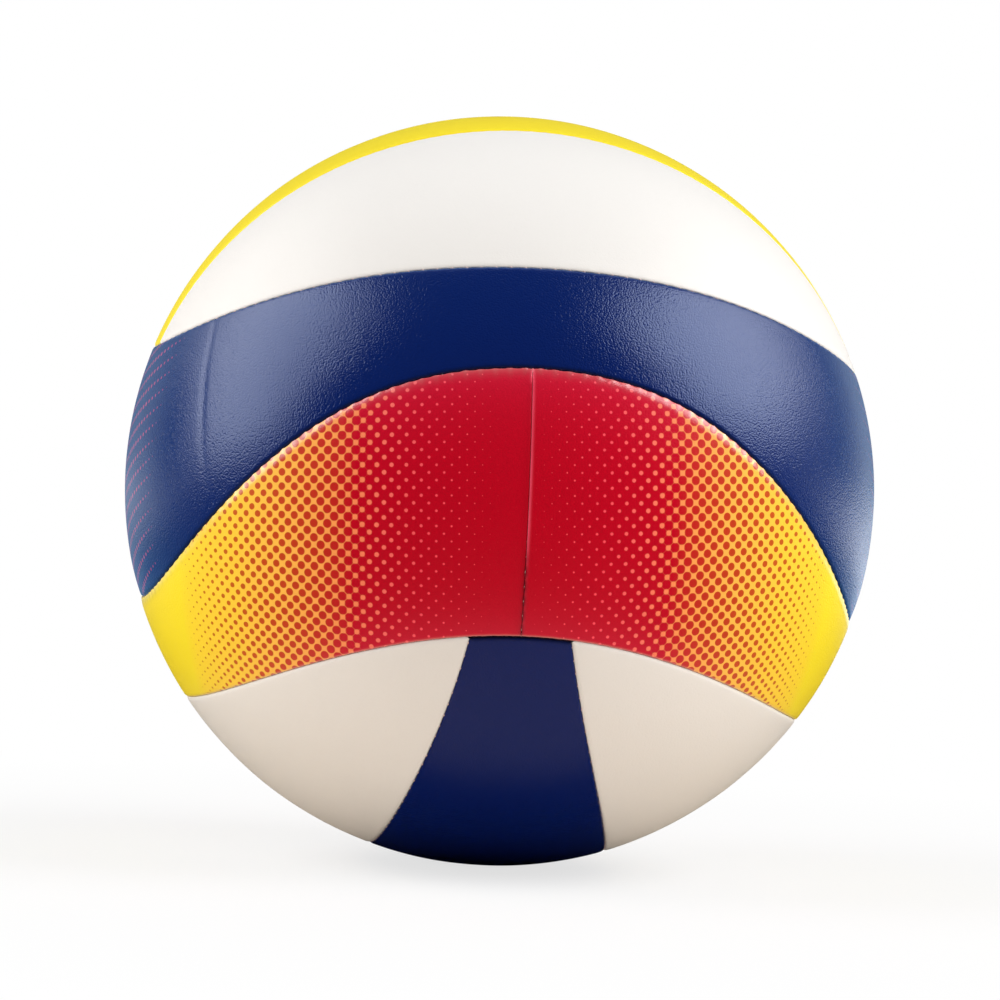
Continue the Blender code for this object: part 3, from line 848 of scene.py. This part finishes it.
def panel_sheet(name, template, place, creases):
    """A panel's outer surface on the ball, with its seam distances, stitch phases and print places stored."""
    spine = template(np.linspace(0, 1, SPINE_SAMPLES), np.full(SPINE_SAMPLES, 0.5))
    length = lengths(np.diff(spine, axis=0)).sum() * BALL_RADIUS
    band = template is band_template
    u, v = crowded_ends(length), crowded(BAND_LINES if band else CAP_LINES)
    grid_u, grid_v = inset_lines(template, u, v)
    local = template(grid_u.ravel(), grid_v.ravel())
    form = bmesh.new()
    bmesh.ops.create_grid(form, x_segments=len(u) - 1, y_segments=len(v) - 1, size=1.0)
    mesh = mesh_from(form, name)
    count = len(mesh.vertices)
    flat = np.empty(count * 3, np.float32)
    mesh.vertices.foreach_get("co", flat)
    flat = flat.reshape(-1, 3)
    i, j = (np.rint((flat[:, k] + 1) / 2 * (len(lines) - 1)).astype(int) for k, lines in enumerate((u, v)))
    local = local[i * len(v) + j]
    points = local @ place.T
    spots = points * BALL_RADIUS
    mesh.vertices.foreach_set("co", spots.astype(np.float32).ravel())
    gap, phase, lapped = np.full(count, 1.0), np.zeros(count), local[:, 0] > 0
    for kind, (finder, phases) in FINDERS.items():
        nearest = [finder.find(spot) for spot in spots]
        to_kind = np.array([n[2] for n in nearest])
        closer = to_kind < gap
        phase = np.where(closer, phases[[n[1] for n in nearest]], phase)
        gap = np.where(closer, to_kind, gap)
        store(mesh, kind + "_gap", to_kind + END_LAP * lapped if kind == "end" else to_kind)
        if kind == "wave":
            store(mesh, "wave_way", unit(np.array([n[0] for n in nearest]) - spots))
    store(mesh, "lapped", lapped)
    store(mesh, "seam_gap", gap)
    store(mesh, "stitch_phase", phase)
    store(mesh, "crease", crease_depth(points, creases))
    if band:
        store(mesh, "print_place", print_places(local))
    mesh.update()
    first = mesh.polygons[0]
    if first.normal.dot(first.center) < 0:
        mesh.flip_normals()
    smooth_all(mesh)
    return mesh


def store(mesh, name, values):
    """Keeps one number or vector for each vertex under a name."""
    kind, field = ("FLOAT", "value") if values.ndim == 1 else ("FLOAT_VECTOR", "vector")
    mesh.attributes.new(name, kind, "POINT").data.foreach_set(field, values.astype(np.float32).ravel())


def cover_panel(name, template, place, slot, creases=()):
    """One panel: crowned sheet with a thin wall, standing for the panel's solid."""
    top = name == "top_strip_panel"
    piece = add_piece("sewn_" + name, panel_sheet(name, template, place, creases))
    shaped(piece, CROWN, {
        **(LOWER_EDGE if name.startswith("lower_band") else UPPER_EDGE),
        "Hole drop": HOLE_DROP if top else 0.0, "Finish": FINISHES[slot]})
    wall = piece.modifiers.new("wall", "SOLIDIFY")
    wall.thickness, wall.offset, wall.use_even_offset = SKIN_WALL, -1.0, False
    settle(piece)
    if top:
        cut_valve_hole(piece)
    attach(piece, "ball")
    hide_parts(name)


def cut_valve_hole(piece):
    drill = bmesh.new()
    bmesh.ops.create_cone(drill, cap_ends=True, segments=HOLE_SIDES, radius1=VALVE_HOLE, radius2=VALVE_HOLE,
                          depth=DRILL_LENGTH, matrix=Matrix.Translation((0, 0, BALL_RADIUS)))
    tool = add_piece("drill", mesh_from(drill, "drill"))
    hole = piece.modifiers.new("hole", "BOOLEAN")
    hole.operation, hole.object, hole.solver = "DIFFERENCE", tool, "EXACT"
    settle(piece)
    bpy.data.objects.remove(tool)


# ---- valve

SHARP_TURN = math.radians(50)
FLANGE_BELOW, FLANGE_FALL = 0.0016, 0.1135    # under the bladder's outside, and how steeply it falls from the axis
HEAD_CLEARANCE, DISH_DEPTH, FUNNEL_DEPTH, STEM_BEVEL = 0.0003, 0.00025, 0.0007, 0.0008


def turned(name, profile, steps=96):
    """A piece turned about the valve's axis from (radius, height) points, closed on itself."""
    form = bmesh.new()
    verts = [form.verts.new((r, 0.0, z)) for r, z in profile]
    edges = [form.edges.new((verts[k], verts[(k + 1) % len(verts)])) for k in range(len(verts))
             if k + 1 < len(verts) or profile[0][0] > 0]
    bmesh.ops.spin(form, geom=verts + edges, cent=(0, 0, 0), axis=(0, 0, 1), angle=2 * math.pi, steps=steps)
    bmesh.ops.remove_doubles(form, verts=form.verts, dist=1e-7)
    bmesh.ops.recalc_face_normals(form, faces=form.faces)
    mesh = mesh_from(form, name)
    smooth_all(mesh)
    mesh.set_sharp_from_angle(angle=SHARP_TURN)
    return mesh


def rounded(corner, before, after, radius, steps=4):
    """Points of an arc that eases a profile's corner between its two neighbours."""
    corner, before, after = (np.array(p, float) for p in (corner, before, after))
    start, end = (corner + unit(other - corner) * radius for other in (before, after))
    shares = np.linspace(0, 1, steps + 1)
    return [tuple((1 - t) ** 2 * start + 2 * t * (1 - t) * corner + t * t * end) for t in shares]


def eased(profile, radii):
    """A profile with each corner eased by its own radius; a radius of 0 keeps the corner sharp."""
    out = []
    for k, (corner, radius) in enumerate(zip(profile, radii)):
        if radius:
            out += rounded(corner, profile[k - 1], profile[(k + 1) % len(profile)], radius)
        else:
            out.append(corner)
    return out


def valve_pieces():
    """The seat with its flange under the bladder, and the plug with a dished head and a funnelled needle hole."""
    peak = float(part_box("bladder")[1][0]) - FLANGE_BELOW
    under_neck, under_flange = (peak - radius * FLANGE_FALL for radius in (SEAT_NECK, FLANGE_RADIUS))
    seat_end, floor = VALVE_TOP - SEAT_LENGTH, VALVE_TOP - PLUG_HEAD_THICKNESS - HEAD_CLEARANCE
    seat = eased([
        (SEAT_COUNTERBORE, VALVE_TOP), (SEAT_NECK, VALVE_TOP), (SEAT_NECK, under_neck),
        (FLANGE_RADIUS, under_flange), (FLANGE_RADIUS, under_flange - FLANGE_THICKNESS),
        (SEAT_NECK, under_neck - 2 * FLANGE_THICKNESS), (SEAT_BORE + 0.001, seat_end),
        (SEAT_BORE, seat_end), (SEAT_BORE, floor), (SEAT_COUNTERBORE, floor),
    ], [0.0003, 0.0004, 0.0008, 0.0004, 0.0004, 0.0008, 0.0004, 0.0002, 0.0002, 0.0002])
    head, stem, hole = PLUG_HEAD_RADIUS, PLUG_STEM_RADIUS, NEEDLE_HOLE_RADIUS
    hole_end, head_under = VALVE_TOP - NEEDLE_HOLE_DEPTH, VALVE_TOP - PLUG_HEAD_THICKNESS
    dish, end = VALVE_TOP - DISH_DEPTH, VALVE_TOP - PLUG_LENGTH
    plug = [(0.0, hole_end)] + eased([
        (hole, hole_end), (hole, dish - FUNNEL_DEPTH), (hole * 1.9, dish), (head * 0.70, dish),
        (head * 0.78, VALVE_TOP), (head, VALVE_TOP), (head, head_under),
        (stem, head_under), (stem, end + STEM_BEVEL), (stem - STEM_BEVEL, end),
    ], [0, 0.0002, 0.0002, 0.0002, 0.0002, 0.0003, 0.0002, 0.0002, 0.0003, 0.0003]) + [(0.0, end)]
    for name, profile, body, slot in (("valve_seat", seat, "ball", "valve_rubber"),
                                      ("valve_plug", plug, "plug", "plug_rubber")):
        piece = add_piece("turned_" + name, turned(name, profile))
        piece.data.materials.append(FINISHES[slot])
        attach(piece, body)
        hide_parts(name)


valve_pieces()

# ---- build the ball

FRONT_CREASE = ((-60.6, 27.0), (-52.6, -1.0), 0.00025, 0.0012)   # from and to, in degrees, its depth and width
PANELS = [
    ("top_strip_panel", strip_template, UPPER_FRONT, "yellow_cover"),
    ("top_front_panel", side_template, UPPER_FRONT, "white_cover"),
    ("top_back_panel", side_template, UPPER_BACK, "white_cover"),
    ("upper_band_front_panel", band_template, UPPER_FRONT, "blue_red_cover", [FRONT_CREASE]),
    ("upper_band_back_panel", band_template, UPPER_BACK, "blue_red_cover"),
    ("lower_band_left_panel", band_template, LOWER_LEFT, "yellow_red_cover"),
    ("lower_band_right_panel", band_template, LOWER_RIGHT, "yellow_red_cover"),
    ("bottom_strip_panel", strip_template, LOWER_LEFT, "blue_cover"),
    ("bottom_left_panel", side_template, LOWER_LEFT, "white_cover"),
    ("bottom_right_panel", side_template, LOWER_RIGHT, "white_cover"),
]

for panel in PANELS:
    cover_panel(*panel)
for number, seam in enumerate(SEAMS):
    stitched_seam(seam, number)

for name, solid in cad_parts.items():
    if name.endswith("_foam") or name == "bladder":
        solid.data.materials.clear()
        solid.data.materials.append(FINISHES["bladder_rubber" if name == "bladder" else "foam"])

# ---- studio: floor, lamps, camera

FLOOR_HALF, FLOOR_BELOW = 6.0, 0.0002
FLOOR_SHOW = 0.72                # share of plain white that the camera sees in the floor beside the ball
PALE_FLOOR, WARM_FLOOR = (0.84, 0.84, 0.84), (0.89, 0.795, 0.69)
# Painted reflection of the floor for shiny surfaces: a painted shadow under the ball, lighter in front of it, and
# dark further off
UNDER_FLOOR, FRONT_FLOOR, FAR_FLOOR = (0.01, 0.01, 0.01), (0.30, 0.27, 0.24), (0.015, 0.015, 0.015)
SOFT_LIGHT = (1.0, 0.985, 0.97)
# Each lamp: its direction from the ball, distance, width and height, and how bright its face looks
SOFTBOXES = {
    "left_softbox": ((-0.885, -0.005, 0.468), 1.0, 0.70, 0.92, 3.8),
    "right_softbox": ((0.79, -0.26, 0.57), 1.0, 0.69, 0.79, 4.8),
    "top_softbox": ((0.0, 0.16, 1.0), 1.2, 1.2, 0.85, 0.35),
}
CAMERA_YAW, CAMERA_PITCH, CAMERA_ROLL = (math.radians(angle) for angle in (4.27, 0.9, -2.42))
CAMERA_DISTANCE = 14 * BALL_RADIUS
CAMERA_SHIFT = (0.0005, -0.009)
FOCAL_PIXELS, PICTURE_PIXELS, SENSOR = 5232, 1000, 36.0


def studio_floor():
    """A pale floor with the ball's shadow. Shiny surfaces see it dull in front and as a lit sweep behind."""
    form = bmesh.new()
    bmesh.ops.create_grid(form, x_segments=8, y_segments=8, size=FLOOR_HALF,
                          matrix=Matrix.Translation((0, 0, -BALL_RADIUS - FLOOR_BELOW)))
    mesh = mesh_from(form, "studio_floor")
    floor = add_piece("studio_floor", mesh)
    finish, tree, place = new_finish("pale_floor")
    seen, glossy = ray_kinds(tree)
    away = vector_maths(tree, "LENGTH", place, output="Value")
    x, y, _ = axes(place)

    def matt(colour):
        return node(tree, "ShaderNodeBsdfDiffuse", {"Color": colour})

    def glow(strength):
        return node(tree, "ShaderNodeEmission", {"Color": PLAIN_WHITE, "Strength": strength})

    shown = either(FLOOR_SHOW + (1 - FLOOR_SHOW) * away.smooth(0.12, 0.42), matt(PALE_FLOOR), glow(1.0))
    near = blend(y.smooth(-0.06, -0.085), UNDER_FLOOR, FRONT_FLOOR)
    dull = matt(blend(away.smooth(0.13, 0.40), near, FAR_FLOOR))
    # The sweep is brighter on the right
    sweep = (0.25 + x.smooth(0.2, 0.6) * (1.65 - 1.1 * y.smooth(0.8, 2.5)) + 0.6 * x.smooth(0.9, 1.4)
             - 0.5 * x.smooth(2.0, 5.0) + 0.55 * x.smooth(-0.4, -0.9) * x.smooth(-4.5, -1.5))
    mirrored = either(y.smooth(0.28, 0.75), dull, glow(sweep))
    bounced = either(glossy, matt(WARM_FLOOR), mirrored)
    node(tree, "ShaderNodeOutputMaterial", {"Surface": either(seen, bounced, shown)})
    mesh.materials.append(finish)


def studio_world():
    """Soft light from all round, white behind the ball, and a lit sweep with pale wings for shiny surfaces."""
    world = bpy.data.worlds.new("studio_world")
    world.use_nodes = True
    tree = world.node_tree
    tree.nodes.clear()
    seen, glossy = ray_kinds(tree)
    x, y, z = axes(node(tree, "ShaderNodeTexCoord", output="Generated"))

    def light(strength, colour=PLAIN_WHITE):
        return node(tree, "ShaderNodeBackground", {"Color": colour, "Strength": strength})

    ahead = z * 0.5 - y * 0.86
    soft = light(0.205 + 0.33 * y.smooth(0.1, 0.9) + 0.40 * ahead.smooth(0.35, 1.0), SOFT_LIGHT)
    behind = y.smooth(0.60, 0.90) * y.smooth(1.08, 0.75) * (0.86 + x * 0.28) * (1 - z.smooth(-0.05, 0.40) * 0.8)
    beside = x.smooth(0.70, 0.95) * (1 - z.smooth(0.10, 0.35))
    # The wings carry both softboxes round towards the back
    round_back = y + x * 0.14
    wings = (z.smooth(0.16, 0.40) * z.smooth(0.80, 0.60) * round_back.smooth(0.10, 0.34)
             * round_back.smooth(0.67, 0.46) * (2.5 + x * 0.65))
    lit = either(glossy, soft, light(behind + 0.28 * beside + wings))
    node(tree, "ShaderNodeOutputWorld", {"Surface": either(seen, lit, light(1.0))})
    bpy.context.scene.world = world


def softbox(name, direction, distance, width, height, radiance):
    """An area lamp that faces the ball, given by how bright its face looks."""
    lamp = bpy.data.lights.new(name, "AREA")
    lamp.shape, lamp.size, lamp.size_y = "RECTANGLE", width, height
    lamp.energy = radiance * math.pi * width * height
    obj = add_piece(name, lamp)
    toward = Vector(direction).normalized()
    obj.location = toward * distance
    obj.rotation_euler = toward.to_track_quat("Z", "Y").to_euler()


def photo_camera():
    """The camera at the photograph's viewing angle."""
    turn = (Matrix.Rotation(CAMERA_ROLL, 3, "Z") @ Matrix.Rotation(CAMERA_PITCH, 3, "X")
            @ Matrix.Rotation(CAMERA_YAW, 3, "Y")).transposed()

    # The turn is in axes with y up and z to the front, so its results are put in the part's axes
    def part_axes(v):
        return Vector((v.x, -v.z, v.y))

    right, up, back = (part_axes(turn @ Vector(axis)) for axis in ((1, 0, 0), (0, 1, 0), (0, 0, 1)))
    camera = bpy.data.cameras.new("photo_camera")
    camera.sensor_width, camera.lens = SENSOR, FOCAL_PIXELS / PICTURE_PIXELS * SENSOR
    camera.shift_x, camera.shift_y = CAMERA_SHIFT
    camera.clip_start, camera.clip_end = 0.05, 50.0
    obj = add_piece("photo_camera", camera)
    basis = Matrix((right, up, back)).transposed().to_4x4()
    obj.matrix_world = Matrix.Translation(back * CAMERA_DISTANCE) @ basis
    bpy.context.scene.camera = obj


studio_floor()
studio_world()
for name, settings in SOFTBOXES.items():
    softbox(name, *settings)
photo_camera()
bpy.context.scene.view_settings.view_transform = "Standard"
